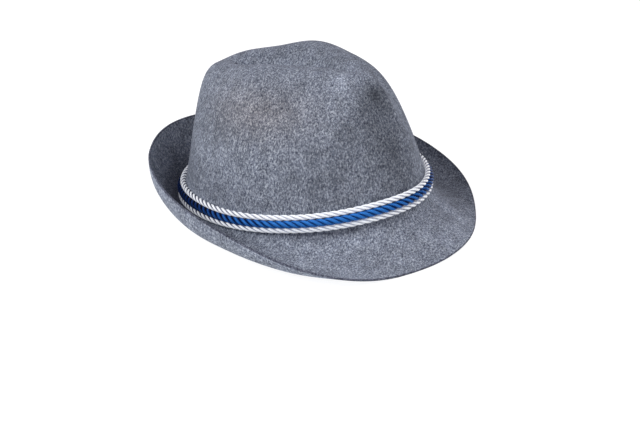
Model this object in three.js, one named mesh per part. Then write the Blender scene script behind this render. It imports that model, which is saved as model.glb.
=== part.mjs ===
// Tyrolean hat of blocked grey-blue felt with three twisted cords round the crown.
// Millimetres. +Z is up, the front of the hat looks along -Y, and the hat rests on z = 0.
import * as THREE from 'three';

// Felt cap
const HEAD_LONG_HALF = 104; // outside of the felt at the brim break, front to back
const HEAD_WIDE_HALF = 86; // the same, side to side
const CROWN_HIGH = 116; // brim break to the top of the side ridges
const BRIM_WIDE = 48; // along the felt, from the break to the edge at the side
const FELT = 1.6;
const BREAK_ROUND = 7; // length of felt that the bend between crown and brim takes on each side
const BRIM_ROLL_EASE = 1.42; // above 1 the brim turns up mostly near its edge

// Blocking of the crown
const WALL_HOLD = 0.64; // share of the rise over which the wall keeps its lean
const SHOULDER_PULL = 23.8; // roundness of the shoulder below the ridge
const RIDGE_PULL = 14; // roundness of the ridge towards the dent
const DENT_PULL = 16; // roundness of the dent's bottom
const DENT_DEEP = 19;
const DENT_END_LIFT = 0.6; // share of the depth that the dent loses at its two ends
const DENT_FRONT = 42; // end of the dent's bottom line, ahead of the head's centre
const DENT_BACK = 52;
const DENT_EASE = 1.5;
const PINCH_TURN = 10; // degrees from the front to the middle of each finger dent
const PINCH_SPREAD = 14;
const PINCH_DEEP = 9;
const PINCH_HIGH = 95; // brim break to the dent's deepest place
const PINCH_ABOVE = 22; // how far it fades upwards
const PINCH_BELOW = 40;
const PINCH_EDGE = 2.5; // above 2 the dent's floor is flatter and its sides steeper

// The hat rests on the front of its brim and on the bend at the back
const REST_SQUASH = 0.8; // depth of felt that is pressed flat where it rests

// Cords, a thicker blue one between two white ones
const WHITE_CORD = 4.2;
const BLUE_CORD = 5.8;
const CORD_GAP = 0.4; // to the felt, and between neighbouring cords
const CORD_LIFT = 5.6; // brim break to the underside of the lowest cord
const CORD_FRONT_LIFT = 1.6; // how much higher the cords lie at the front

// Facets and steps
const AROUND = 72;
const BRIM_STEPS = 7;
const BEND_STEPS = 4;
const WALL_STEPS = 9;
const DENT_STEPS = 5;
const CORD_AROUND = 84;
const CORD_SIDES = 8;
const BRIM_PIECES = 10; // straight pieces that the brim's curve is added up from
const SHARE_PASSES = 5;
const STEEPEST_REST = 20; // degrees, the search for the resting turn starts between 0 and this
const REST_HALVINGS = 20;

// One row for each 30 degrees from the front to the back, the same on both sides.
// inset: ridge in from the break, of HEAD_WIDE_HALF. rise: ridge height, of CROWN_HIGH.
// lean: of the wall at its foot, degrees. width: of the brim, of BRIM_WIDE.
// root and edge: upward slope of the brim at the break and at its edge, degrees.
const FOLDS = [
  { inset: 0.42, rise: 0.910, lean: 2, width: 0.885, root: -36, edge: -36 },
  { inset: 0.61, rise: 0.950, lean: 9, width: 0.900, root: -46, edge: -15 },
  { inset: 0.67, rise: 0.975, lean: 3, width: 1.060, root: -48, edge: 60 },
  { inset: 0.62, rise: 1.000, lean: 1, width: 0.990, root: -16, edge: 106 },
  { inset: 0.62, rise: 0.965, lean: 14, width: 0.915, root: 24, edge: 104 },
  { inset: 0.55, rise: 0.945, lean: 18, width: 1.020, root: 47, edge: 94 },
  { inset: 0.51, rise: 0.920, lean: 19, width: 1.100, root: 55, edge: 86 },
];

const UP = new THREE.Vector3(0, 0, 1);
const radians = THREE.MathUtils.degToRad;

// Turn from the front, folded to 0 at the front and 180 at the back
function foldedTurn(turn) {
  const whole = THREE.MathUtils.euclideanModulo(turn, 360);
  return Math.min(whole, 360 - whole);
}

// Smooth value of one column of FOLDS at a turn
function foldValue(column, turn) {
  const last = FOLDS.length - 1;
  const place = (foldedTurn(turn) / 180) * last;
  const row = Math.min(Math.floor(place), last - 1);
  const part = place - row;
  const at = (index) => FOLDS[index < 0 ? -index : index > last ? 2 * last - index : index][column];
  const before = (at(row + 1) - at(row - 1)) / 2;
  const after = (at(row + 2) - at(row)) / 2;
  const square = part * part;
  const cube = square * part;
  return at(row) * (2 * cube - 3 * square + 1) + before * (cube - 2 * square + part)
    + at(row + 1) * (3 * square - 2 * cube) + after * (cube - square);
}

// Point of the head oval at the brim break, and the direction out of it
function headOval(turn) {
  const angle = radians(turn);
  const foot = new THREE.Vector3(HEAD_WIDE_HALF * Math.sin(angle), -HEAD_LONG_HALF * Math.cos(angle), 0);
  const out = new THREE.Vector3(Math.sin(angle) / HEAD_WIDE_HALF, -Math.cos(angle) / HEAD_LONG_HALF, 0);
  return { foot, out: out.normalize() };
}

// Inward push of the two finger dents at the front
function pinchDepth(turn, height) {
  const aside = Math.abs(foldedTurn(turn) - PINCH_TURN) / PINCH_SPREAD;
  const above = (height - PINCH_HIGH) / (height > PINCH_HIGH ? PINCH_ABOVE : PINCH_BELOW);
  return PINCH_DEEP * Math.exp(-Math.pow(aside, PINCH_EDGE) - above * above);
}

function ridgePoint(turn) {
  const { foot, out } = headOval(turn);
  const ridge = foot.clone().addScaledVector(out, -foldValue('inset', turn) * HEAD_WIDE_HALF);
  return ridge.setZ(foldValue('rise', turn) * CROWN_HIGH);
}

// Crown wall, share 0 at the break and 1 on the ridge
function wallPoint(turn, share) {
  const { foot, out } = headOval(turn);
  const ridge = ridgePoint(turn);
  const lean = radians(foldValue('lean', turn));
  const rising = UP.clone().multiplyScalar(Math.cos(lean)).addScaledVector(out, -Math.sin(lean));
  const curve = new THREE.CubicBezierCurve3(
    foot,
    foot.clone().addScaledVector(rising, WALL_HOLD * ridge.z),
    ridge.clone().addScaledVector(out, SHOULDER_PULL),
    ridge,
  );
  const point = curve.getPoint(share);
  return point.addScaledVector(out, -pinchDepth(turn, point.z));
}

// Bottom line of the dent, where the two halves of the crown's top meet
function dentLine(turn) {
  const quarter = foldedTurn(turn) / 90;
  const ahead = quarter < 1;
  const run = 1 - Math.pow(ahead ? quarter : 2 - quarter, DENT_EASE);
  const end = Math.pow(Math.abs(Math.cos(radians(turn))), 4);
  const height = foldValue('rise', turn) * CROWN_HIGH - DENT_DEEP * (1 - DENT_END_LIFT * end);
  return new THREE.Vector3(0, ahead ? -DENT_FRONT * run : DENT_BACK * run, height);
}

// Top of the crown, share 0 on the ridge and 1 on the dent's bottom line
function dentPoint(turn, share) {
  const { out } = headOval(turn);
  const ridge = ridgePoint(turn);
  const bottom = dentLine(turn);
  const aside = new THREE.Vector3(Math.sin(radians(turn)), 0, 0);
  const curve = new THREE.CubicBezierCurve3(
    ridge,
    ridge.clone().addScaledVector(out, -RIDGE_PULL),
    bottom.clone().addScaledVector(aside, DENT_PULL),
    bottom,
  );
  const fading = (1 - share) * (1 - share);
  return curve.getPoint(share).addScaledVector(out, -fading * pinchDepth(turn, ridge.z));
}

// Brim, share 0 at the break and 1 at the edge: the slope is added up along the felt
function brimPoint(turn, share) {
  const { foot, out } = headOval(turn);
  const root = foldValue('root', turn);
  const edge = foldValue('edge', turn);
  const length = (foldValue('width', turn) * BRIM_WIDE * share) / BRIM_PIECES;
  const point = foot.clone();
  for (let piece = 0; piece < BRIM_PIECES; piece += 1) {
    const along = (share * (piece + 0.5)) / BRIM_PIECES;
    const slope = radians(root + (edge - root) * Math.pow(along, BRIM_ROLL_EASE));
    point.addScaledVector(out, length * Math.cos(slope)).addScaledVector(UP, length * Math.sin(slope));
  }
  return point;
}

// Share of the wall at which it has risen to a height near its foot
function wallShareAt(turn, height) {
  let share = height / (3 * WALL_HOLD * ridgePoint(turn).z);
  for (let pass = 0; pass < SHARE_PASSES; pass += 1) {
    share *= height / wallPoint(turn, share).z;
  }
  return share;
}

// Outside of the felt at one turn, from the brim's edge to the dent's bottom line
function feltProfile(turn) {
  const brimShare = BREAK_ROUND / (foldValue('width', turn) * BRIM_WIDE);
  const wallShare = wallShareAt(turn, BREAK_ROUND);
  const bend = new THREE.QuadraticBezierCurve3(
    brimPoint(turn, brimShare),
    headOval(turn).foot,
    wallPoint(turn, wallShare),
  );
  const points = [];
  for (let step = 0; step < BRIM_STEPS; step += 1) {
    points.push(brimPoint(turn, 1 + (brimShare - 1) * (step / BRIM_STEPS)));
  }
  for (let step = 0; step < BEND_STEPS; step += 1) {
    points.push(bend.getPoint(step / BEND_STEPS));
  }
  for (let step = 0; step < WALL_STEPS; step += 1) {
    points.push(wallPoint(turn, wallShare + (1 - wallShare) * (step / WALL_STEPS)));
  }
  for (let step = 0; step <= DENT_STEPS; step += 1) {
    points.push(dentPoint(turn, step / DENT_STEPS));
  }
  return points;
}

// Triangles between rings of points; the last ring is folded together on the dent's bottom line
function feltTriangles(rings) {
  const last = rings - 1;
  const slot = (ring, column) => {
    const turned = column % AROUND;
    return ring * AROUND + (ring === last && turned > AROUND / 2 ? AROUND - turned : turned);
  };
  const triangles = [];
  for (let ring = 0; ring < last; ring += 1) {
    for (let column = 0; column < AROUND; column += 1) {
      const corners = [
        slot(ring, column),
        slot(ring, column + 1),
        slot(ring + 1, column + 1),
        slot(ring + 1, column),
      ];
      triangles.push([corners[0], corners[1], corners[2]], [corners[0], corners[2], corners[3]]);
    }
  }
  return triangles;
}

// Direction out of the felt at each point, from the triangles round it
function pointNormals(points, triangles) {
  const normals = points.map(() => new THREE.Vector3());
  const first = new THREE.Vector3();
  const second = new THREE.Vector3();
  for (const [a, b, c] of triangles) {
    first.subVectors(points[b], points[a]);
    second.subVectors(points[c], points[a]);
    first.cross(second);
    for (const corner of [a, b, c]) {
      normals[corner].add(first);
    }
  }
  return normals.map((normal) => normal.normalize());
}

// Closed surface from points and triangles, without the points that no triangle uses
function solidGeometry(points, triangles) {
  const used = new Map();
  const positions = [];
  const indices = triangles.flat().map((corner) => {
    if (!used.has(corner)) {
      used.set(corner, used.size);
      positions.push(points[corner].x, points[corner].y, points[corner].z);
    }
    return used.get(corner);
  });
  const geometry = new THREE.BufferGeometry();
  geometry.setAttribute('position', new THREE.Float32BufferAttribute(positions, 3));
  geometry.setIndex(indices);
  geometry.computeVertexNormals();
  return geometry;
}

// The blocked felt: outside, inside one felt thickness away, and the cut edge of the brim
function feltSolid() {
  const profiles = Array.from({ length: AROUND }, (_, column) => feltProfile((360 * column) / AROUND));
  const rings = profiles[0].length;
  const outside = [];
  for (let ring = 0; ring < rings; ring += 1) {
    outside.push(...profiles.map((profile) => profile[ring]));
  }
  const triangles = feltTriangles(rings);
  const normals = pointNormals(outside, triangles);
  const inside = outside.map((point, index) => point.clone().addScaledVector(normals[index], -FELT));
  const underside = triangles.map(([a, b, c]) => [a + outside.length, c + outside.length, b + outside.length]);
  const cutEdge = [];
  for (let column = 0; column < AROUND; column += 1) {
    const next = (column + 1) % AROUND;
    cutEdge.push([column, column + outside.length, next + outside.length], [column, next + outside.length, next]);
  }
  return { outside, inside, triangles: [...triangles, ...underside, ...cutEdge] };
}

const felt = feltSolid();

// Nose-up turn at which the front and the back of the felt come down together
function restingTurn() {
  let low = 0;
  let high = radians(STEEPEST_REST);
  const turn = new THREE.Matrix4();
  const lowest = (points) => Math.min(...points.map((point) => point.clone().applyMatrix4(turn).z));
  const front = felt.inside.filter((point) => point.y < 0);
  const back = felt.inside.filter((point) => point.y > 0);
  for (let halving = 0; halving < REST_HALVINGS; halving += 1) {
    const middle = (low + high) / 2;
    turn.makeRotationX(-middle);
    if (lowest(front) < lowest(back)) {
      low = middle;
    } else {
      high = middle;
    }
  }
  return turn;
}

const restTurn = restingTurn();
[...felt.outside, ...felt.inside].forEach((point) => point.applyMatrix4(restTurn));
const feltBox = new THREE.Box3().setFromPoints([...felt.outside, ...felt.inside]);
const feltMiddle = feltBox.getCenter(new THREE.Vector3());

// From the turned hat to the part's frame: middle of the felt over the origin, felt pressed to z = 0
const settle = new THREE.Vector3(-feltMiddle.x, -feltMiddle.y, -feltBox.min.z - REST_SQUASH);
felt.outside.forEach((point) => point.add(settle).setZ(Math.max(point.z, FELT / 2)));
felt.inside.forEach((point) => point.add(settle).setZ(Math.max(point.z, 0)));

// Line of a cord round the crown, lying against the wall; the tubes meet flat to flat
function cordLine(index, thick) {
  const spacing = ((WHITE_CORD + BLUE_CORD) / 2) * Math.cos(Math.PI / CORD_SIDES) + CORD_GAP;
  const away = thick / 2 + CORD_GAP;
  const points = [];
  for (let column = 0; column < CORD_AROUND; column += 1) {
    const turn = (360 * column) / CORD_AROUND;
    const ahead = Math.max(0, Math.cos(radians(turn)));
    const lowest = CORD_LIFT + CORD_FRONT_LIFT * ahead * ahead + WHITE_CORD / 2;
    const height = lowest + index * spacing;
    const lean = radians(foldValue('lean', turn));
    const seat = wallPoint(turn, wallShareAt(turn, height));
    seat.addScaledVector(headOval(turn).out, away * Math.cos(lean)).addScaledVector(UP, away * Math.sin(lean));
    points.push(seat.applyMatrix4(restTurn).add(settle));
  }
  return points;
}

// Closed round tube along a ring of points, its section upright to the hat's own axis
function cordGeometry(index, thick) {
  const line = cordLine(index, thick);
  const axis = UP.clone().transformDirection(restTurn);
  const points = [];
  const triangles = [];
  line.forEach((centre, column) => {
    const before = line[(column + CORD_AROUND - 1) % CORD_AROUND];
    const after = line[(column + 1) % CORD_AROUND];
    const out = after.clone().sub(before).cross(axis).normalize();
    for (let side = 0; side < CORD_SIDES; side += 1) {
      const angle = (2 * Math.PI * (side + 0.5)) / CORD_SIDES;
      const point = centre.clone().addScaledVector(out, (thick / 2) * Math.cos(angle));
      points.push(point.addScaledVector(axis, (thick / 2) * Math.sin(angle)));
      const here = column * CORD_SIDES;
      const there = ((column + 1) % CORD_AROUND) * CORD_SIDES;
      const nextSide = (side + 1) % CORD_SIDES;
      triangles.push(
        [here + side, there + side, there + nextSide],
        [here + side, there + nextSide, here + nextSide],
      );
    }
  });
  return solidGeometry(points, triangles);
}

const feltFinish = new THREE.MeshStandardMaterial({ color: 0x7c8593, roughness: 0.95, metalness: 0 });
const whiteFinish = new THREE.MeshStandardMaterial({ color: 0xe6e8ee, roughness: 0.4, metalness: 0 });
const blueFinish = new THREE.MeshStandardMaterial({ color: 0x1d4f9e, roughness: 0.4, metalness: 0 });

function piece(name, geometry, material) {
  const mesh = new THREE.Mesh(geometry, material);
  mesh.name = name;
  return mesh;
}

const group = new THREE.Group();
group.name = 'tyrolean_hat';
group.add(
  piece('felt_cap', solidGeometry([...felt.outside, ...felt.inside], felt.triangles), feltFinish),
  piece('lower_white_cord', cordGeometry(0, WHITE_CORD), whiteFinish),
  piece('middle_blue_cord', cordGeometry(1, BLUE_CORD), blueFinish),
  piece('upper_white_cord', cordGeometry(2, WHITE_CORD), whiteFinish),
);

export default group;
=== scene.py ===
"""Tyrolean hat: blocked grey-blue felt with a white, a blue and a white twisted cord round the crown."""
import logging
import math
from dataclasses import dataclass
from enum import Enum
from typing import Any, Sequence

import bmesh
import bpy
import numpy as np
from mathutils import Matrix, Vector, noise


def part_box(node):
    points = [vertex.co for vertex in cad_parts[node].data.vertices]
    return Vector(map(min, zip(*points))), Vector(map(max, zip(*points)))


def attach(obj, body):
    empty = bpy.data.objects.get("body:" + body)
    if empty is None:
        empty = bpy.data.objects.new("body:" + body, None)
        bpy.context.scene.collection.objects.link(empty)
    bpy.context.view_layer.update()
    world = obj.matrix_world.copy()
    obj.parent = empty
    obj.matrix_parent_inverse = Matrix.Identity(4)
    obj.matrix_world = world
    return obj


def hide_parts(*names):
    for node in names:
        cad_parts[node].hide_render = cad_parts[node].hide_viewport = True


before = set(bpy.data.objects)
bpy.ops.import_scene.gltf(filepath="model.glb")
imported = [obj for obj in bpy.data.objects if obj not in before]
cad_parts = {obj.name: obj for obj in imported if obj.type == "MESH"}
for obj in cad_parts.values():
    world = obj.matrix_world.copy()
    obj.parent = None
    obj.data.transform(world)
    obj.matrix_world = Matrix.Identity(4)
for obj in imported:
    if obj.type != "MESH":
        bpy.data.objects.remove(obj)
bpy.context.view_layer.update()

LOG = logging.getLogger("tyrolean_hat")
MM = 0.001
UP = Vector((0.0, 0.0, 1.0))
# A wave texture of scale 1 runs through this many radians in one unit of its vector
WAVE_RADIANS = 20.0
# A Mix node that mixes colours has its factor, A and B at inputs 0, 6 and 7 and its result at output 2
MIX_COLOURS = {"data_type": "RGBA"}
MULTIPLY_COLOURS = {"data_type": "RGBA", "blend_type": "MULTIPLY"}

Colour = tuple[float, float, float, float]


def linear(hex_colour: str) -> Colour:
    """Turn an sRGB hex colour into linear light.

    Args:
        hex_colour: Six hex digits, such as "8A8F9E".

    Returns:
        Red, green, blue and alpha, linear.
    """
    parts = [int(hex_colour[i : i + 2], 16) / 255 for i in (0, 2, 4)]
    light = [p / 12.92 if p <= 0.04045 else ((p + 0.055) / 1.055) ** 2.4 for p in parts]
    return (light[0], light[1], light[2], 1.0)


def grey(value: float) -> Colour:
    """Return a linear grey."""
    return (value, value, value, 1.0)


def clamp(value: float) -> float:
    """Return a value held between 0 and 1."""
    return min(max(value, 0.0), 1.0)


def direction(turn: float, rise: float) -> Vector:
    """Return the direction that lies a turn from the front and a rise above the floor, both in radians."""
    return Vector((math.sin(turn) * math.cos(rise), -math.cos(turn) * math.cos(rise), math.sin(rise)))


def bezier(corners: Sequence[Vector], share: float) -> Vector:
    """Return the point of a Bezier curve at a share of its length in parameter.

    Args:
        corners: The curve's control points.
        share: Place on the curve, 0 to 1.

    Returns:
        The point.
    """
    points = [corner.copy() for corner in corners]
    while len(points) > 1:
        points = [a.lerp(b, share) for a, b in zip(points, points[1:])]
    return points[0]


@dataclass(frozen=True)
class Fold:
    """Blocking of the felt in one direction from the middle of the head.

    inset and rise place the ridge, as shares of the head's half width and of the crown's height. lean is
    the wall's at its foot, in degrees. width is the brim's, as a share of the side brim. root and edge are
    the brim's upward slopes at the break and at its edge, in degrees.
    """

    inset: float
    rise: float
    lean: float
    width: float
    root: float
    edge: float


FOLDS = (
    Fold(inset=0.42, rise=0.910, lean=2, width=0.885, root=-36, edge=-36),
    Fold(inset=0.61, rise=0.950, lean=9, width=0.900, root=-46, edge=-15),
    Fold(inset=0.67, rise=0.975, lean=3, width=1.060, root=-48, edge=60),
    Fold(inset=0.62, rise=1.000, lean=1, width=0.990, root=-16, edge=106),
    Fold(inset=0.62, rise=0.965, lean=14, width=0.915, root=24, edge=104),
    Fold(inset=0.55, rise=0.945, lean=18, width=1.020, root=47, edge=94),
    Fold(inset=0.51, rise=0.920, lean=19, width=1.100, root=55, edge=86),
)


@dataclass(frozen=True)
class ProfileSteps:
    """Points on each stretch of the felt's profile. edge_hold keeps the cut edge square, in millimetres."""

    brim: int = 12
    bend: int = 5
    wall: int = 22
    dent: int = 10
    edge_hold: float = 0.5


@dataclass(frozen=True)
class HatBlock:
    """The wooden block's shape that the felt takes, before the hat is laid down.

    Lengths are in millimetres and turns in degrees from the front.
    """

    head_long_half: float = 104.0
    head_wide_half: float = 86.0
    crown_high: float = 116.0
    brim_wide: float = 48.0
    break_round: float = 7.0
    brim_roll_ease: float = 1.42
    brim_pieces: int = 10
    wall_hold: float = 0.64
    wall_tries: int = 5
    shoulder_pull: float = 23.8
    ridge_pull: float = 14.0
    dent_pull: float = 16.0
    dent_deep: float = 19.0
    dent_end_lift: float = 0.6
    dent_end_ease: float = 4.0
    dent_front: float = 42.0
    dent_back: float = 52.0
    dent_ease: float = 1.5
    pinch_turn: float = 10.0
    pinch_spread: float = 14.0
    pinch_deep: float = 9.0
    pinch_high: float = 95.0
    pinch_above: float = 22.0
    pinch_below: float = 40.0
    pinch_edge: float = 2.5

    def folded(self, turn: float) -> float:
        """Fold a turn from the front so that both sides read 0 to 180 degrees."""
        whole = turn % 360
        return min(whole, 360 - whole)

    def value(self, column: str, turn: float) -> float:
        """Read one column of FOLDS smoothly at a turn.

        Args:
            column: Name of the column.
            turn: Degrees from the front.

        Returns:
            The value between its rows.
        """
        last = len(FOLDS) - 1
        place = self.folded(turn) / 180 * last
        row = min(int(place), last - 1)
        part = place - row

        def at(index: int) -> float:
            """Return the column in a row, mirrored past the front and the back."""
            return getattr(FOLDS[abs(index) if index <= last else 2 * last - index], column)

        before, after = (at(row + 1) - at(row - 1)) / 2, (at(row + 2) - at(row)) / 2
        square, cube = part**2, part**3
        return (
            at(row) * (2 * cube - 3 * square + 1)
            + before * (cube - 2 * square + part)
            + at(row + 1) * (3 * square - 2 * cube)
            + after * (cube - square)
        )

    def foot(self, turn: float) -> Vector:
        """Return the point of the head oval at the brim break."""
        angle = math.radians(turn)
        return Vector((self.head_wide_half * math.sin(angle), -self.head_long_half * math.cos(angle), 0))

    def out(self, turn: float) -> Vector:
        """Return the direction out of the head oval.

        Args:
            turn: Degrees from the front.

        Returns:
            The direction, level and one unit long.
        """
        angle = math.radians(turn)
        across, ahead = math.sin(angle) / self.head_wide_half, math.cos(angle) / self.head_long_half
        return Vector((across, -ahead, 0)).normalized()

    def pinch(self, turn: float, height: float) -> float:
        """Return how far the finger dents push the felt in.

        Args:
            turn: Degrees from the front.
            height: Height over the brim break.

        Returns:
            The depth, greatest in the middle of each finger dent.
        """
        aside = abs(self.folded(turn) - self.pinch_turn) / self.pinch_spread
        above = height - self.pinch_high
        above /= self.pinch_above if above > 0 else self.pinch_below
        return self.pinch_deep * math.exp(-(aside**self.pinch_edge) - above**2)

    def ridge(self, turn: float) -> Vector:
        """Return the ridge's point round the top of the crown.

        Args:
            turn: Degrees from the front.

        Returns:
            The point.
        """
        point = self.foot(turn) - self.out(turn) * self.value("inset", turn) * self.head_wide_half
        point.z = self.value("rise", turn) * self.crown_high
        return point

    def wall(self, turn: float, share: float) -> Vector:
        """Return a point of the crown's wall.

        Args:
            turn: Degrees from the front.
            share: 0 at the brim break, 1 on the ridge.

        Returns:
            The point.
        """
        foot, out, ridge = self.foot(turn), self.out(turn), self.ridge(turn)
        lean = math.radians(self.value("lean", turn))
        rising = UP * math.cos(lean) - out * math.sin(lean)
        hold = foot + rising * self.wall_hold * ridge.z
        point = bezier((foot, hold, ridge + out * self.shoulder_pull, ridge), share)
        return point - out * self.pinch(turn, point.z)

    def dent_line(self, turn: float) -> Vector:
        """Return the point of the dent's bottom line that a turn folds down to.

        Args:
            turn: Degrees from the front.

        Returns:
            The point.
        """
        quarter = self.folded(turn) / 90
        ahead = quarter < 1
        run = 1 - (quarter if ahead else 2 - quarter) ** self.dent_ease
        end = abs(math.cos(math.radians(turn))) ** self.dent_end_ease
        deep = self.dent_deep * (1 - self.dent_end_lift * end)
        height = self.value("rise", turn) * self.crown_high - deep
        return Vector((0, -self.dent_front * run if ahead else self.dent_back * run, height))

    def dent(self, turn: float, share: float) -> Vector:
        """Return a point of the crown's top.

        Args:
            turn: Degrees from the front.
            share: 0 on the ridge, 1 on the dent's bottom line.

        Returns:
            The point.
        """
        out, ridge, bottom = self.out(turn), self.ridge(turn), self.dent_line(turn)
        aside = Vector((math.sin(math.radians(turn)), 0, 0))
        corners = (ridge, ridge - out * self.ridge_pull, bottom + aside * self.dent_pull, bottom)
        return bezier(corners, share) - out * (1 - share) ** 2 * self.pinch(turn, ridge.z)

    def brim(self, turn: float, share: float) -> Vector:
        """Return a point of the brim, its slope added up along the felt.

        Args:
            turn: Degrees from the front.
            share: 0 at the break, 1 at the edge.

        Returns:
            The point.
        """
        root, edge = self.value("root", turn), self.value("edge", turn)
        length = self.value("width", turn) * self.brim_wide * share / self.brim_pieces
        point, out = self.foot(turn), self.out(turn)
        for piece in range(self.brim_pieces):
            along = share * (piece + 0.5) / self.brim_pieces
            slope = math.radians(root + (edge - root) * along**self.brim_roll_ease)
            point += (out * math.cos(slope) + UP * math.sin(slope)) * length
        return point

    def wall_share(self, turn: float, height: float) -> float:
        """Return the share of the wall at which it has risen to a height near its foot.

        Args:
            turn: Degrees from the front.
            height: Height over the brim break.

        Returns:
            The share, 0 at the brim break.
        """
        # A cubic Bezier curve sets out at three times the length of its first handle
        share = height / (3 * self.wall_hold * self.ridge(turn).z)
        for _ in range(self.wall_tries):
            share *= height / self.wall(turn, share).z
        return share

    def profile(self, turn: float, steps: ProfileSteps) -> list[Vector]:
        """Return the felt's outside at one turn, from the brim's edge to the dent's bottom line.

        Args:
            turn: Degrees from the front.
            steps: How many points each stretch gets.

        Returns:
            The points.
        """
        width = self.value("width", turn) * self.brim_wide
        brim_share = self.break_round / width
        wall_share = self.wall_share(turn, self.break_round)
        bend = (self.brim(turn, brim_share), self.foot(turn), self.wall(turn, wall_share))
        shares = [1 - steps.edge_hold / width]
        shares += [shares[0] + (brim_share - shares[0]) * s / steps.brim for s in range(1, steps.brim)]
        points = [self.brim(turn, 1)] + [self.brim(turn, share) for share in shares]
        points += [bezier(bend, s / steps.bend) for s in range(steps.bend)]
        for s in range(steps.wall):
            points.append(self.wall(turn, wall_share + (1 - wall_share) * s / steps.wall))
        points += [self.dent(turn, s / steps.dent) for s in range(steps.dent + 1)]
        return points


class Laying:
    """How the blocked hat comes to lie on its brim: a nose-up turn, then a move down to the surface.

    The turn is found by halving a range that ends at STEEPEST degrees.
    """

    STEEPEST = 20
    HALVINGS = 20

    def __init__(self, underside: np.ndarray, box_low: Vector, box_high: Vector, squash: float) -> None:
        """Work the turn out from the felt's underside, as the part's source does.

        Args:
            underside: Points of the felt before it is laid down, in metres.
            box_low: Lowest corner of the felt's solid in the frame.
            box_high: Its highest corner.
            squash: Depth of felt that is pressed flat, in metres.
        """
        low, high = 0.0, math.radians(self.STEEPEST)
        front, back = underside[underside[:, 1] < 0], underside[underside[:, 1] > 0]
        for _ in range(self.HALVINGS):
            middle = (low + high) / 2
            sine, cosine = math.sin(middle), math.cos(middle)
            lowest = [(part[:, 2] * cosine - part[:, 1] * sine).min() for part in (front, back)]
            low, high = (middle, high) if lowest[0] < lowest[1] else (low, middle)
        self.turn = Matrix.Rotation(-low, 4, "X")
        turned = underside @ np.array(self.turn.to_3x3()).T
        across = (turned[:, 1].min() + turned[:, 1].max()) / 2
        self.move = Vector((0, (box_low.y + box_high.y) / 2 - across, -turned[:, 2].min() - squash))

    def matrix(self) -> Matrix:
        """Return the whole move from the block to the frame."""
        return Matrix.Translation(self.move) @ self.turn


class Node(Enum):
    """Shader nodes that the finishes are made of."""

    COORDINATES = "ShaderNodeTexCoord"
    UV = "ShaderNodeUVMap"
    MAPPING = "ShaderNodeMapping"
    NOISE = "ShaderNodeTexNoise"
    WAVE = "ShaderNodeTexWave"
    RAMP = "ShaderNodeValToRGB"
    MIX = "ShaderNodeMix"
    MATH = "ShaderNodeMath"
    BUMP = "ShaderNodeBump"
    ATTRIBUTE = "ShaderNodeAttribute"
    SHADER = "ShaderNodeBsdfPrincipled"
    OUTPUT = "ShaderNodeOutputMaterial"


class Finish:
    """A node material that is being put together."""

    def __init__(self, name: str) -> None:
        """Start an empty material.

        Args:
            name: The material's name.
        """
        self.material = bpy.data.materials.new(name)
        self.material.use_nodes = True
        self.tree = self.material.node_tree
        self.tree.nodes.clear()

    def add(
        self,
        kind: Node,
        settings: dict[str, Any] | None = None,
        stops: Sequence[tuple[float, Colour]] = (),
        **sockets: Any,
    ) -> bpy.types.Node:
        """Add a node with its settings, its values and its links.

        Args:
            kind: The node.
            settings: Properties of the node itself.
            stops: Place and colour of each stop, where the node is a colour ramp.
            sockets: Input names with underscores for spaces, or i and an index, each with a value, another
                node, or a node and the name or index of its output.

        Returns:
            The node.
        """
        node = self.tree.nodes.new(kind.value)
        for name, value in (settings or {}).items():
            setattr(node, name, value)
        if stops:
            elements = node.color_ramp.elements
            while len(elements) < len(stops):
                elements.new(1.0)
            for element, (place, colour) in zip(elements, stops):
                element.position = place
                element.color = colour
        for name, value in sockets.items():
            index = name[1:]
            socket = node.inputs[int(index)] if index.isdigit() else node.inputs[name.replace("_", " ")]
            if isinstance(value, tuple) and isinstance(value[0], bpy.types.Node):
                self.tree.links.new(value[0].outputs[value[1]], socket)
            elif isinstance(value, bpy.types.Node):
                self.tree.links.new(value.outputs[0], socket)
            else:
                socket.default_value = value
        return node


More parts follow.
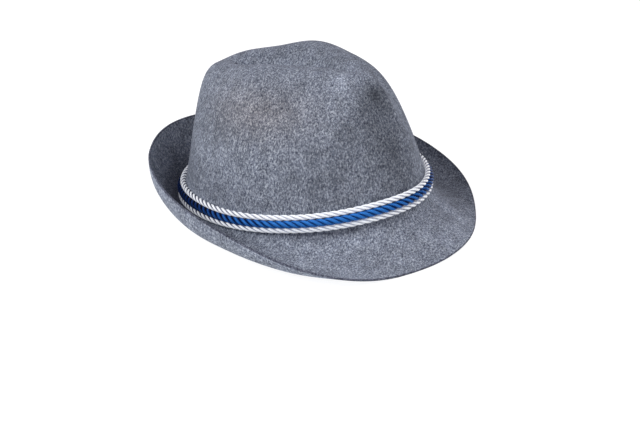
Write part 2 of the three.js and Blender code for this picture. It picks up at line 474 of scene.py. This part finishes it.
@dataclass(frozen=True)
class PressedFelt:
    """Wool and rayon felt, needled and steam-pressed over a block.

    Fibres of several greys lie at random, so the eye sees light curls on a darker blue-grey ground, soft
    mottling a centimetre wide, and no gloss. The colour has painted shade in it, darker in the finger dents
    and where the crown shades the brim, and painted light, paler where light falls full on the felt;
    handling leaves a place a little warmer. On the wall the pressing draws the fibres upright. Real fibres
    are 0.03 mm thick, too fine to show, so the curls are drawn as locks of them. A cut edge shows the dense,
    dark core.

    Each places field says at which values of its noise the tones set in. upright stretches the pattern.
    """

    name: str = "pressed_grey_blue_felt"
    dark: str = "3E4251"
    ground: str = "747B89"
    pale: str = "B4BBC6"
    bloom: str = "C8CEDC"
    warmth: Colour = (1.12, 1.0, 0.9, 1.0)
    upright: tuple[float, float, float] = (1.1, 1.1, 0.66)
    fleck_mm: float = 1.3
    fleck_places: tuple[float, float, float] = (0.31, 0.5, 0.69)
    curl_mm: float = 2.0
    curl_places: tuple[float, float] = (0.3, 1.0)
    curl_cover: float = 0.6
    cloud_mm: float = 9.0
    cloud_places: tuple[float, float] = (0.3, 0.7)
    cloud_tones: tuple[float, float] = (0.78, 1.2)
    relief_mm: float = 0.3

    def build(self) -> bpy.types.Material:
        """Make the felt's material.

        Returns:
            The material.
        """
        finish = Finish(self.name)
        place = finish.add(Node.COORDINATES)
        drawn = finish.add(Node.MAPPING, Vector=(place, "Object"), Scale=self.upright)
        cloud = finish.add(Node.NOISE, Vector=(place, "Object"), Scale=1 / (self.cloud_mm * MM), Detail=3.0)
        fleck = finish.add(
            Node.NOISE,
            Vector=drawn,
            Scale=1 / (self.fleck_mm * MM),
            Detail=2.0,
            Roughness=0.8,
            Distortion=0.4,
        )
        curl = finish.add(
            Node.NOISE,
            {"noise_type": "RIDGED_MULTIFRACTAL"},
            Vector=drawn,
            Scale=1 / (self.curl_mm * MM),
            Detail=1.0,
            Roughness=0.7,
            Distortion=1.0,
        )
        tones = [linear(colour) for colour in (self.dark, self.ground, self.pale)]
        tone = finish.add(Node.RAMP, stops=list(zip(self.fleck_places, tones)), Fac=fleck)
        covers = [grey(0.0), grey(self.curl_cover)]
        curls = finish.add(Node.RAMP, stops=list(zip(self.curl_places, covers)), Fac=curl)
        shades = [grey(shade) for shade in self.cloud_tones]
        shade = finish.add(Node.RAMP, stops=list(zip(self.cloud_places, shades)), Fac=cloud)
        fibres = finish.add(Node.MIX, MIX_COLOURS, i0=curls, i6=tone, i7=linear(self.pale))
        clouded = finish.add(Node.MIX, MULTIPLY_COLOURS, i0=1.0, i6=(fibres, 2), i7=shade)
        # Painted light and shade: a per-point factor that makes the felt's colour paler where light falls
        # and darker where shade falls
        nap = finish.add(Node.ATTRIBUTE, {"attribute_name": "nap"})
        warm = finish.add(Node.ATTRIBUTE, {"attribute_name": "warm"})
        lit_and_shaded = finish.add(Node.MIX, MULTIPLY_COLOURS, i0=1.0, i6=(clouded, 2), i7=(nap, "Fac"))
        colour = finish.add(Node.MIX, MULTIPLY_COLOURS, i0=(warm, "Fac"), i6=(lit_and_shaded, 2), i7=self.warmth)
        height = finish.add(Node.MATH, {"operation": "ADD"}, i0=fleck, i1=curl)
        bump = finish.add(Node.BUMP, Height=height, Strength=0.5, Distance=self.relief_mm * MM)
        shader = finish.add(
            Node.SHADER,
            Base_Color=(colour, 2),
            Roughness=0.95,
            IOR=1.5,
            Specular_IOR_Level=0.12,
            Sheen_Weight=0.05,
            Sheen_Roughness=0.6,
            Sheen_Tint=linear(self.bloom),
            Normal=bump,
        )
        finish.add(Node.OUTPUT, Surface=shader)
        return finish.material


@dataclass(frozen=True)
class TwistedRayon:
    """Bright viscose rayon, its filaments laid in strands and the strands twisted.

    The long smooth filaments give a silky gleam along each strand and fine lines that follow its twist.
    White rayon holds a brightener that turns ultraviolet light to blue; the white cord's own glow, which
    stands for it, is painted light. The strands show their body colour outside, and painted shade where they
    turn in: a hollow colour, and the dark groove between them.

    Across a filament line the colour runs from deep to body, which it reaches at the height line_top, from
    0 to 1. groove_to, hollow_from, hollow_to and body_from are shares of the way out from the cord's middle.
    """

    name: str
    body: str
    deep: str
    hollow: str
    groove: str
    gleam: str
    painted_glow: float = 0.0
    filaments: int = 7
    lay_per_mm: float = 0.12
    line_top: float = 0.6
    relief_mm: float = 0.12
    groove_to: float = 0.25
    hollow_from: float = 0.55
    hollow_to: float = 0.58
    body_from: float = 0.92

    def build(self) -> bpy.types.Material:
        """Make the cord's material.

        Returns:
            The material.
        """
        finish = Finish(self.name)
        unrolled = finish.add(Node.UV, {"uv_map": "strand"})
        lines = finish.add(
            Node.WAVE,
            {"wave_type": "BANDS", "bands_direction": "Y", "wave_profile": "SIN"},
            Vector=unrolled,
            Scale=self.filaments / WAVE_RADIANS,
            Distortion=0.5,
            Detail=1.0,
        )
        crest = finish.add(Node.ATTRIBUTE, {"attribute_name": "crest"})
        line_stops = [(0.0, linear(self.deep)), (self.line_top, linear(self.body))]
        tone = finish.add(Node.RAMP, stops=line_stops, Fac=lines)
        outside_stops = [(self.hollow_to, grey(0.0)), (self.body_from, grey(1.0))]
        outside = finish.add(Node.RAMP, stops=outside_stops, Fac=(crest, "Fac"))
        # Painted shade: the strands darken to the hollow and groove colours where they turn in and between
        # them
        inside_stops = [(self.groove_to, linear(self.groove)), (self.hollow_from, linear(self.hollow))]
        inside = finish.add(Node.RAMP, stops=inside_stops, Fac=(crest, "Fac"))
        colour = finish.add(Node.MIX, MIX_COLOURS, i0=outside, i6=inside, i7=tone)
        bump = finish.add(Node.BUMP, Height=lines, Strength=0.35, Distance=self.relief_mm * MM)
        shader = finish.add(
            Node.SHADER,
            Base_Color=(colour, 2),
            Roughness=0.45,
            IOR=1.38,
            Specular_IOR_Level=0.5,
            Specular_Tint=linear(self.gleam),
            # Painted light: the cord glows by itself, though it is no lamp
            Emission_Color=(colour, 2),
            Emission_Strength=self.painted_glow,
            Normal=bump,
        )
        finish.add(Node.OUTPUT, Surface=shader)
        return finish.material


class Shop:
    """Modelling steps that several pieces share."""

    @staticmethod
    def deselect() -> None:
        """Leave edit mode and deselect everything."""
        if bpy.context.object and bpy.context.object.mode != "OBJECT":
            bpy.ops.object.mode_set(mode="OBJECT")
        bpy.ops.object.select_all(action="DESELECT")

    @staticmethod
    def activate(pieces: Sequence[bpy.types.Object]) -> None:
        """Select some pieces alone and make the first one active.

        Args:
            pieces: The pieces.
        """
        Shop.deselect()
        for piece in pieces:
            piece.select_set(True)
        bpy.context.view_layer.objects.active = pieces[0]

    @staticmethod
    def modify(piece: bpy.types.Object, kind: str, **settings: Any) -> None:
        """Add a modifier and apply it.

        Args:
            piece: The piece.
            kind: Blender's name of the modifier.
            settings: The modifier's properties.
        """
        Shop.activate([piece])
        modifier = piece.modifiers.new(kind.lower(), kind)
        for name, value in settings.items():
            setattr(modifier, name, value)
        bpy.ops.object.modifier_apply(modifier=modifier.name)

    @staticmethod
    def coordinates(piece: bpy.types.Object) -> np.ndarray:
        """Read where the piece's points are.

        Args:
            piece: The piece.

        Returns:
            The points, a row each.
        """
        flat = np.empty(len(piece.data.vertices) * 3)
        piece.data.vertices.foreach_get("co", flat)
        return flat.reshape(-1, 3)

    @staticmethod
    def place(piece: bpy.types.Object, points: np.ndarray) -> None:
        """Put the piece's points where the rows say."""
        piece.data.vertices.foreach_set("co", points.ravel())
        piece.data.update()


@dataclass(frozen=True)
class PaintedLightAndShade:
    """A place where the felt's colour is painted darker for shade or paler for light.

    turn is in degrees from the front, plus toward +X. along is in millimetres over the felt from the brim
    break, minus on the brim. wide and tall are the place's reach in both. tone is how much paler the felt
    is there, as a share, and warm how much of the felt's warmth shows.
    """

    turn: float
    along: float
    wide: float
    tall: float
    tone: float
    warm: float = 0.0

    def share(self, turn: float, along: float) -> float:
        """Return how far a point lies in the place, from 1 in its middle to 0 outside."""
        apart = (turn - self.turn + 180) % 360 - 180
        return math.exp(-((apart / self.wide) ** 2) - ((along - self.along) / self.tall) ** 2)


# Painted shade in the finger dents, under the top band and where the crown shades the far brim; painted
# light on the ridge, the lit patch, the front brim, the fold, under the cords and on the brim's underside;
# one warmer place
PAINTED_LIGHT_AND_SHADE = (
    PaintedLightAndShade(turn=-13, along=64, wide=13, tall=44, tone=-0.41),
    PaintedLightAndShade(turn=-7, along=100, wide=10, tall=13, tone=-0.48),
    PaintedLightAndShade(turn=-38, along=76, wide=9, tall=15, tone=-0.28),
    PaintedLightAndShade(turn=-54, along=46, wide=14, tall=22, tone=-0.14),
    PaintedLightAndShade(turn=-115, along=84, wide=34, tall=17, tone=-0.2),
    PaintedLightAndShade(turn=-86, along=30, wide=34, tall=24, tone=0.12),
    PaintedLightAndShade(turn=-46, along=92, wide=14, tall=16, tone=0.18),
    PaintedLightAndShade(turn=-72, along=107, wide=14, tall=9, tone=-0.14),
    PaintedLightAndShade(turn=-24, along=117, wide=18, tall=10, tone=0.44),
    PaintedLightAndShade(turn=85, along=140, wide=60, tall=14, tone=-0.1),
    PaintedLightAndShade(turn=-48, along=-30, wide=24, tall=24, tone=0.22),
    PaintedLightAndShade(turn=7, along=-30, wide=25, tall=26, tone=0.3),
    PaintedLightAndShade(turn=-40, along=0, wide=45, tall=9, tone=0.25),
    PaintedLightAndShade(turn=21, along=-10, wide=5, tall=14, tone=0.4),
    PaintedLightAndShade(turn=46, along=-28, wide=17, tall=20, tone=-0.3),
    PaintedLightAndShade(turn=-126, along=-46, wide=22, tall=14, tone=0.22),
    PaintedLightAndShade(turn=-76, along=-50, wide=34, tall=10, tone=0.26),
    PaintedLightAndShade(turn=-84, along=96, wide=29, tall=19, tone=0.0, warm=0.75),
)


@dataclass
class FeltCap:
    """Crown and brim, one blocked piece of felt. Sizes in millimetres.

    squash is how deep the felt is pressed flat where it rests. uneven and uneven_span are the depth and the
    reach of the steaming's swells, and uneven_start is where in the noise they begin.
    """

    block: HatBlock
    finish: PressedFelt = PressedFelt()
    cut_edge: PressedFelt = PressedFelt("cut_edge_of_felt", dark="2A2C37", ground="4B4F5D", pale="808593")
    steps: ProfileSteps = ProfileSteps()
    around: int = 144
    felt: float = 1.6
    squash: float = 0.8
    merge_within: float = 0.002
    uneven: float = 0.45
    uneven_span: float = 38.0
    uneven_start: tuple[float, float, float] = (3.1, 7.7, 1.9)

    def build(self) -> tuple[bpy.types.Object, Laying]:
        """Model the felt and lay it down.

        Returns:
            The felt, and how the hat lies.
        """
        cap = self.draw_rings()
        self.steam(cap)
        cap.data.materials.clear()
        for finish in (self.finish, self.cut_edge):
            cap.data.materials.append(finish.build())
        # The faces of the first ring, half a millimetre wide, come first and darken with the cut edge
        for strip in cap.data.polygons[: self.around]:
            strip.material_index = 1
        Shop.modify(
            cap,
            "SOLIDIFY",
            thickness=self.felt * MM,
            offset=-1.0,
            use_even_offset=True,
            use_rim=True,
            material_offset_rim=1,
        )
        Shop.modify(cap, "SUBSURF", levels=1, render_levels=1)
        laying = self.lay(cap)
        bpy.ops.object.shade_smooth()
        return cap, laying

    def draw_rings(self) -> bpy.types.Object:
        """Draw a ring up over the block: from the brim's edge in to the break, up the wall, into the dent.

        Returns:
            The felt's outside, with no thickness yet.
        """
        Shop.deselect()
        bpy.ops.mesh.primitive_circle_add(vertices=self.around, radius=self.block.head_wide_half * MM)
        cap = bpy.context.active_object
        cap.name = "felt_crown_and_brim"
        columns = range(self.around)
        profiles = [self.block.profile(360 * column / self.around, self.steps) for column in columns]
        bpy.ops.object.mode_set(mode="EDIT")
        bpy.ops.mesh.select_all(action="SELECT")
        for ring in range(len(profiles[0])):
            if ring:
                bpy.ops.mesh.extrude_edges_move()
            self.place_ring(cap, profiles, ring)
        bpy.ops.mesh.select_all(action="SELECT")
        bpy.ops.mesh.remove_doubles(threshold=self.merge_within * MM)
        bpy.ops.mesh.normals_make_consistent(inside=False)
        bpy.ops.object.mode_set(mode="OBJECT")
        return cap

    def place_ring(self, cap: bpy.types.Object, profiles: list[list[Vector]], ring: int) -> None:
        """Put the ring that was just drawn on the block.

        Args:
            cap: The felt, in edit mode.
            profiles: The block's profile for each column.
            ring: Which point of the profiles.
        """
        mesh = bmesh.from_edit_mesh(cap.data)
        if not ring:
            for name in ("nap", "warm"):
                mesh.verts.layers.float.new(name)
            column = mesh.verts.layers.int.new("column")
            for index, vert in enumerate(mesh.verts):
                vert[column] = index
        column = mesh.verts.layers.int["column"]
        nap, warm = (mesh.verts.layers.float[name] for name in ("nap", "warm"))
        for vert in mesh.verts:
            if vert.select:
                profile = profiles[vert[column]]
                vert.co = profile[ring] * MM
                along = self.along(profile, ring)
                turn = 360 * vert[column] / self.around
                # Painted light and shade: each place scales the felt's colour paler or darker
                shares = [(place, place.share(turn, along)) for place in PAINTED_LIGHT_AND_SHADE]
                vert[nap] = 1 + sum(place.tone * share for place, share in shares)
                vert[warm] = sum(place.warm * share for place, share in shares)
        bmesh.update_edit_mesh(cap.data)

    def along(self, profile: list[Vector], ring: int) -> float:
        """Measure how far a point of a profile lies from the brim break, over the felt.

        Args:
            profile: The profile's points.
            ring: Which of them.

        Returns:
            The length, minus on the brim.
        """
        middle = self.steps.brim + self.steps.bend // 2
        low, high = sorted((middle, ring))
        steps = zip(profile[low:high], profile[low + 1 : high + 1])
        length = sum((after - here).length for here, after in steps)
        return length if ring > middle else -length

    def steam(self, cap: bpy.types.Object) -> None:
        """Give the felt the slight unevenness of hand steaming, along its normals.

        Args:
            cap: The felt.
        """
        points = Shop.coordinates(cap)
        for vertex, point in zip(cap.data.vertices, points):
            swell = noise.noise(Vector(point) / (self.uneven_span * MM) + Vector(self.uneven_start))
            point += np.array(vertex.normal) * swell * self.uneven * MM
        Shop.place(cap, points)

    def lay(self, cap: bpy.types.Object) -> Laying:
        """Lay the felt on its brim and press it flat where it rests.

        Args:
            cap: The felt.

        Returns:
            How the hat lies.
        """
        low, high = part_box("felt_cap")
        points = Shop.coordinates(cap)
        laying = Laying(points, low, high, self.squash * MM)
        points = points @ np.array(laying.turn.to_3x3()).T + np.array(laying.move)
        points[:, 2] = np.maximum(points[:, 2], 0.0)
        Shop.place(cap, points)
        return laying


@dataclass
class TwistedCord:
    """A loop of cord round the crown, three strands twisted together. Sizes in millimetres.

    Behind the head, and from the front round to its +X side, the cord's grooves are painted darker, as
    painted shade where the brim and the crown keep the light off. shade_deepens is how much deeper its
    grooves count where that painted shade is strongest, and shaded_outside how much of its outside they
    take in. shade_aside is the share of that painted shade on the +X side. The turns from and to are in
    degrees from the front: the painted shade begins at the one and is strongest from the other on.

    index counts the cords from the lowest. start is where in its twist the first strand begins, as a share.
    lay is about the length of one twist. seats is the number of places that the middle line is laid at.
    """

    name: str
    node: str
    slot: str
    index: int
    block: HatBlock
    laying: Laying
    finish: TwistedRayon
    thick: float
    start: float = 0.0
    shaded_outside: float = 0.0
    shade_deepens: float = 1.4
    shade_from: float = 75.0
    shade_to: float = 125.0
    shade_aside: float = 0.85
    shade_aside_from: float = -32.0
    shade_aside_to: float = 26.0
    lowest: float = 7.7
    spacing: float = 4.92
    front_lift: float = 1.6
    clear: float = 0.12
    strands: int = 3
    strand_round: int = 4
    twists: int = 33
    lay: float = 18.0
    steps_per_twist: int = 18
    seats: int = 720

    def axis_points(self, count: int) -> list[tuple[Vector, Vector, Vector]]:
        """Return the cord's middle line, with the directions away from the wall and up it.

        Args:
            count: Number of points round the crown.

        Returns:
            Middle, outward and upward directions of each point, evenly spaced, in millimetres.
        """
        away = self.thick / 2 + self.clear
        rough = []
        for step in range(self.seats):
            turn = 360 * step / self.seats
            ahead = max(0.0, math.cos(math.radians(turn)))
            height = self.lowest + self.front_lift * ahead**2 + self.index * self.spacing
            lean = math.radians(self.block.value("lean", turn))
            out = self.block.out(turn)
            square = out * math.cos(lean) + UP * math.sin(lean)
            up = UP * math.cos(lean) - out * math.sin(lean)
            seat = self.block.wall(turn, self.block.wall_share(turn, height))
            rough.append((seat + square * away, square, up))
        closed = rough + rough[:1]
        lengths = [0.0]
        for here, after in zip(rough, closed[1:]):
            lengths.append(lengths[-1] + (after[0] - here[0]).length)
        places = np.linspace(0, lengths[-1], count, endpoint=False)
        columns = []
        for part in range(3):
            axes = [[row[part][axis] for row in closed] for axis in range(3)]
            columns.append(np.column_stack([np.interp(places, lengths, axis) for axis in axes]))
        return [tuple(Vector(column[i]) for column in columns) for i in range(count)]

    def build(self) -> bpy.types.Object:
        """Model the strands and dress them.

        Returns:
            The cord.
        """
        count = self.twists * self.steps_per_twist
        middle = self.axis_points(count)
        # The middles of three touching round strands lie 2 / sqrt(3) of a strand's radius from the cord's
        strand = self.thick / 2 / (1 + 2 / math.sqrt(3))
        reach = self.thick / 2 - strand
        whole = self.laying.matrix()
        pieces = []
        for number in range(self.strands):
            curve = bpy.data.curves.new(f"{self.name}_strand_{number}", "CURVE")
            curve.dimensions = "3D"
            curve.bevel_depth = strand * MM
            curve.bevel_resolution = self.strand_round
            spline = curve.splines.new("POLY")
            spline.points.add(count - 1)
            spline.use_cyclic_u = True
            for step, (point, out, up) in enumerate(middle):
                # Falling to the right on the side that shows, as an S-laid cord does
                angle = math.tau * (self.start + number / self.strands - step / self.steps_per_twist)
                bent = point + (out * math.cos(angle) + up * math.sin(angle)) * reach
                spline.points[step].co = (*(whole @ (bent * MM)), 1.0)
            pieces.append(bpy.data.objects.new(curve.name, curve))
            bpy.context.scene.collection.objects.link(pieces[-1])
        Shop.activate(pieces)
        bpy.ops.object.convert(target="MESH")
        for piece in pieces:
            self.unroll(piece, count)
            self.mark_crests(piece, middle, whole)
        bpy.ops.object.join()
        cord = bpy.context.active_object
        cord.name = self.name
        cord.data.materials.clear()
        cord.data.materials.append(self.finish.build())
        bpy.ops.object.shade_smooth()
        return cord

    def painted_cord_shade(self, turn: float) -> float:
        """Return how strong the painted shade on the cord is.

        Args:
            turn: Degrees from the front, plus toward +X.

        Returns:
            0 where no shade is painted, 1 behind the head.
        """
        behind = (abs(turn) - self.shade_from) / (self.shade_to - self.shade_from)
        aside = (turn - self.shade_aside_from) / (self.shade_aside_to - self.shade_aside_from)
        return max(clamp(behind), self.shade_aside * clamp(aside))

    def mark_crests(
        self, piece: bpy.types.Object, middle: list[tuple[Vector, Vector, Vector]], whole: Matrix
    ) -> None:
        """Give each point of a strand its distance from the cord's middle line, less where painted shade
        lies.

        The distance is 0 on the middle line and 1 at the outside. The finish paints groove shade where it is
        low.

        Args:
            piece: The strand.
            middle: The cord's middle line.
            whole: The move from the block to the frame.
        """
        centres = [whole @ (point * MM) for point, _, _ in middle]
        sides = len(piece.data.vertices) // len(centres)
        crest = piece.data.attributes.new("crest", "FLOAT", "POINT")
        for index, vertex in enumerate(piece.data.vertices):
            centre = centres[index // sides]
            painted_cord_shade = self.painted_cord_shade(math.degrees(math.atan2(centre.x, -centre.y)))
            sunk = 1 - (vertex.co - centre).length / (self.thick / 2 * MM)
            # Painted shade: where the cord lies in shade, the groove colour reaches further out over the
            # strands
            crest.data[index].value = 1 - sunk * (1 + self.shade_deepens * painted_cord_shade) - self.shaded_outside * painted_cord_shade

    def unroll(self, piece: bpy.types.Object, count: int) -> None:
        """Give a strand a UV map, in millimetres along it and radians round it.

        Its lines turn round the strand as its filaments do, lay_per_mm of a turn for each millimetre.

        Args:
            piece: The strand.
            count: Number of rings along it.
        """
        sides = len(piece.data.vertices) // count
        length = self.lay * self.twists
        for layer in list(piece.data.uv_layers):
            piece.data.uv_layers.remove(layer)
        layer = piece.data.uv_layers.new(name="strand")
        for polygon in piece.data.polygons:
            spots = [divmod(vertex, sides) for vertex in polygon.vertices]
            wraps_along = {ring for ring, _ in spots} == {0, count - 1}
            wraps_round = {side for _, side in spots} == {0, sides - 1}
            for loop, (ring, side) in zip(polygon.loop_indices, spots):
                along = ring + (count if wraps_along and ring == 0 else 0)
                around = side + (sides if wraps_round and side == 0 else 0)
                turns = around / sides + self.finish.lay_per_mm * length * along / count
                layer.data[loop].uv = (length * along / count, math.tau * turns)


@dataclass(frozen=True)
class Viewpoint:
    """Where the photograph was taken from.

    azimuth and elevation are in degrees, distance in metres and sensor in millimetres. focal, pan, tilt and
    width are in pixels of the photograph.
    """

    azimuth: float = -57.23
    elevation: float = 25.44
    distance: float = 0.9976
    focal: float = 1251.4
    pan: float = -16.0
    tilt: float = 25.8
    width: float = 640.0
    sensor: float = 36.0

    def build(self, laying: Laying) -> None:
        """Put the camera in place, looking at the middle of the head oval and then turned to frame the hat.

        Args:
            laying: How the hat lies.
        """
        azimuth = math.radians(self.azimuth)
        back = direction(azimuth, math.radians(self.elevation))
        right = Vector((math.cos(azimuth), math.sin(azimuth), 0))
        aim = Matrix((right, back.cross(right), back)).transposed()
        pan = Matrix.Rotation(math.atan(self.pan / self.focal), 3, "Y")
        tilt = Matrix.Rotation(-math.atan(self.tilt / self.focal), 3, "X")
        data = bpy.data.cameras.new("camera")
        data.sensor_width = self.sensor
        data.lens = self.focal / self.width * self.sensor
        camera = bpy.data.objects.new("camera", data)
        bpy.context.scene.collection.objects.link(camera)
        place = Matrix.Translation(laying.move + back * self.distance)
        camera.matrix_world = place @ (aim @ pan @ tilt).to_4x4()
        bpy.context.scene.camera = camera


@dataclass(frozen=True)
class Lamp:
    """A square soft box that looks at the hat.

    turn and rise give its direction in degrees. far and size are in metres, and power is in watts.
    """

    name: str
    turn: float
    rise: float
    far: float
    size: float
    power: float

    def hang(self) -> None:
        """Put the soft box in its place."""
        toward = direction(math.radians(self.turn), math.radians(self.rise))
        data = bpy.data.lights.new(self.name, "AREA")
        data.size = self.size
        data.energy = self.power
        lamp = bpy.data.objects.new(self.name, data)
        bpy.context.scene.collection.objects.link(lamp)
        lamp.location = toward * self.far
        lamp.rotation_euler = toward.to_track_quat("Z", "Y").to_euler()


@dataclass(frozen=True)
class Studio:
    """White acrylic table lit from below in a pale room, with soft boxes left, over the front and low right.

    table_half and table_drop are in metres. The drop keeps the table clear of the felt that is pressed flat.
    """

    table_half: float = 6.0
    table_drop: float = 0.0005
    table_colour: str = "8A8B8D"
    table_light: str = "FFFFFF"
    table_glow: float = 0.9
    room_tint: str = "FFE8FA"
    room: float = 0.12
    lamps: tuple[Lamp, ...] = (
        Lamp("left_box", turn=-120, rise=40, far=2.2, size=1.0, power=35.0),
        Lamp("front_box", turn=20, rise=60, far=2.0, size=1.0, power=16.8),
        Lamp("right_box", turn=80, rise=14, far=2.0, size=0.7, power=4.2),
    )

    def build(self) -> None:
        """Lay the table, tint the room and hang the lamps."""
        Shop.deselect()
        bpy.ops.mesh.primitive_plane_add(size=self.table_half * 2, location=(0, 0, -self.table_drop))
        floor = bpy.context.active_object
        floor.name = "white_table"
        finish = Finish("lit_white_acrylic")
        shader = finish.add(
            Node.SHADER,
            Base_Color=linear(self.table_colour),
            Roughness=0.9,
            Specular_IOR_Level=0.1,
            Emission_Color=linear(self.table_light),
            Emission_Strength=self.table_glow,
        )
        finish.add(Node.OUTPUT, Surface=shader)
        floor.data.materials.append(finish.material)
        world = bpy.data.worlds.new("studio")
        world.use_nodes = True
        background = world.node_tree.nodes["Background"]
        background.inputs["Color"].default_value = linear(self.room_tint)
        background.inputs["Strength"].default_value = self.room
        bpy.context.scene.world = world
        bpy.context.scene.view_settings.view_transform = "Standard"
        for lamp in self.lamps:
            lamp.hang()


# The hollow and groove colours of both cords are painted shade, and the white cord's glow is painted light
WHITE_RAYON = TwistedRayon(
    name="white_rayon_cord",
    body="FAFEFF",
    deep="E6EAF2",
    hollow="B6BAC8",
    groove="1E1E38",
    gleam="FFFFFF",
    painted_glow=0.24,
)
BLUE_RAYON = TwistedRayon(
    name="blue_rayon_cord",
    body="3A8ADE",
    deep="123C92",
    hollow="0A2660",
    groove="050820",
    gleam="7CB4FF",
)


def order_cords(block: HatBlock, laying: Laying) -> list[TwistedCord]:
    """List the three cords from the lowest up.

    Args:
        block: The block that they lie on.
        laying: How the hat lies.

    Returns:
        The cords, not built yet.
    """
    below = TwistedCord(
        name="white_cord_below",
        node="lower_white_cord",
        slot="white_cord",
        index=0,
        block=block,
        laying=laying,
        finish=WHITE_RAYON,
        thick=4.2,
    )
    between = TwistedCord(
        name="blue_cord",
        node="middle_blue_cord",
        slot="blue_cord",
        index=1,
        block=block,
        laying=laying,
        finish=BLUE_RAYON,
        thick=5.8,
        start=0.15,
        shaded_outside=0.36,
    )
    above = TwistedCord(
        name="white_cord_above",
        node="upper_white_cord",
        slot="white_cord",
        index=2,
        block=block,
        laying=laying,
        finish=WHITE_RAYON,
        thick=4.2,
        start=0.4,
    )
    return [below, between, above]


def main() -> None:
    """Build the hat's pieces in order, then the studio round it."""
    logging.basicConfig(level=logging.INFO, format="%(message)s")
    block = HatBlock()
    felt, laying = FeltCap(block).build()
    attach(felt, "root")
    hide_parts("felt_cap")
    LOG.info("%s: %d faces", felt.name, len(felt.data.polygons))
    for order in order_cords(block, laying):
        cord = order.build()
        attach(cord, "root")
        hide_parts(order.node)
        LOG.info("%s: %d faces", cord.name, len(cord.data.polygons))
    Viewpoint().build(laying)
    Studio().build()


if __name__ == "__main__":
    main()
